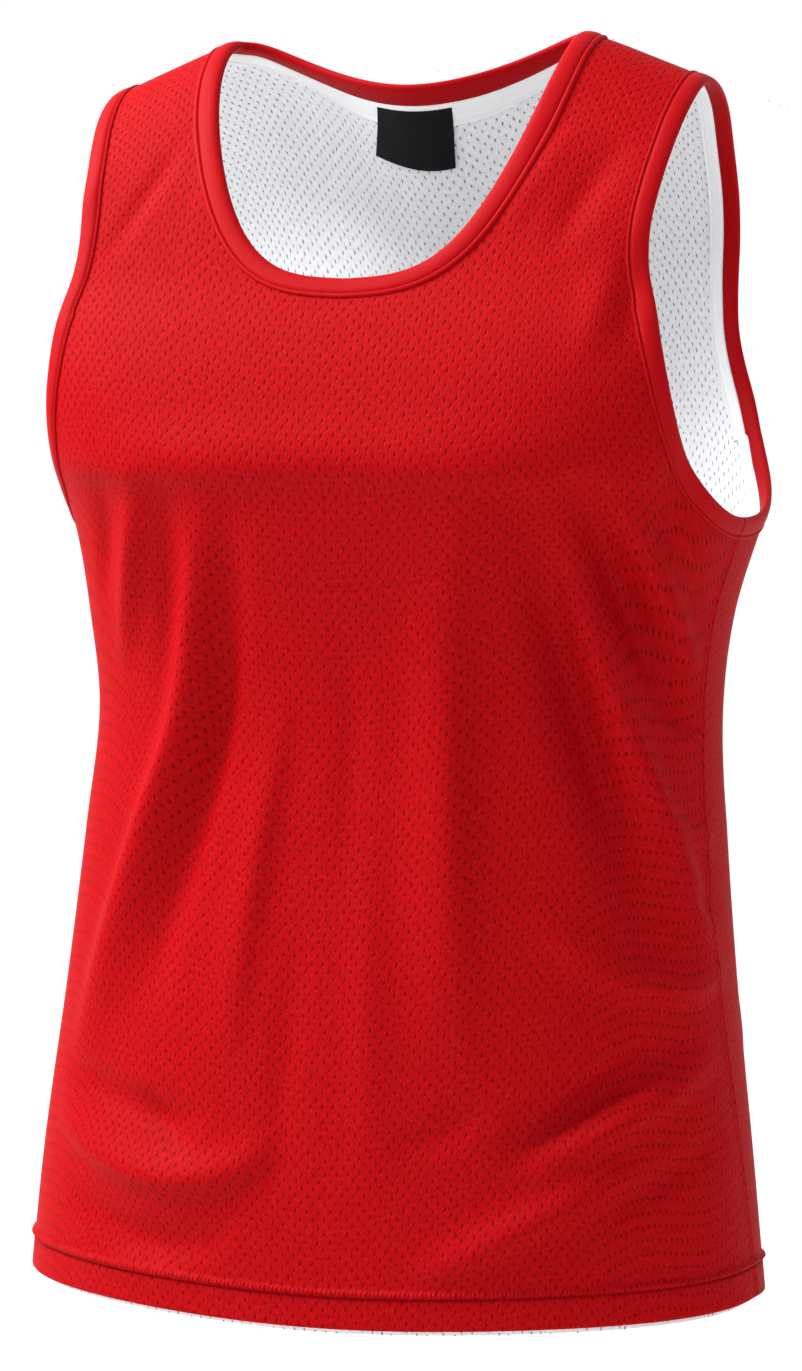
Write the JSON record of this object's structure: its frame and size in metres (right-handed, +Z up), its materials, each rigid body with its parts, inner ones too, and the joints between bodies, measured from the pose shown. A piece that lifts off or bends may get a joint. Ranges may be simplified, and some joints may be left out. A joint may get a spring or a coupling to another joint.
{
  "type": "reversible lacrosse jersey",
  "caption": "Sleeveless reversible mesh jersey, red outside and white inside, bound neck and armholes, filled out and hollow as worn, open at neck, armholes and hem.",
  "frame": {"origin": "between the shoulders, level with the middle of the shoulder seams, where the wearer carries the jersey", "axes": "+Z up the body, -Y out of the front, +X to the wearer's left"},
  "size_m": [0.4341, 0.2489, 0.7158],
  "materials": {
    "red_mesh": "eyelet mesh knit, slight sheen",
    "white_mesh": "eyelet mesh knit, matt",
    "red_binding": "smooth knit binding, slight sheen",
    "white_band": "smooth knit tape",
    "black_label": "plain woven label"
  },
  "bodies": {
    "root": {"front_outer": "red_mesh", "back_outer": "red_mesh", "front_inner": "white_mesh", "back_inner": "white_mesh", "neck_binding": "red_binding", "left_armhole_binding": "red_binding", "right_armhole_binding": "red_binding", "neck_band": "white_band", "left_armhole_band": "white_band", "right_armhole_band": "white_band", "neck_label": "black_label"}
  },
  "joints": []
}
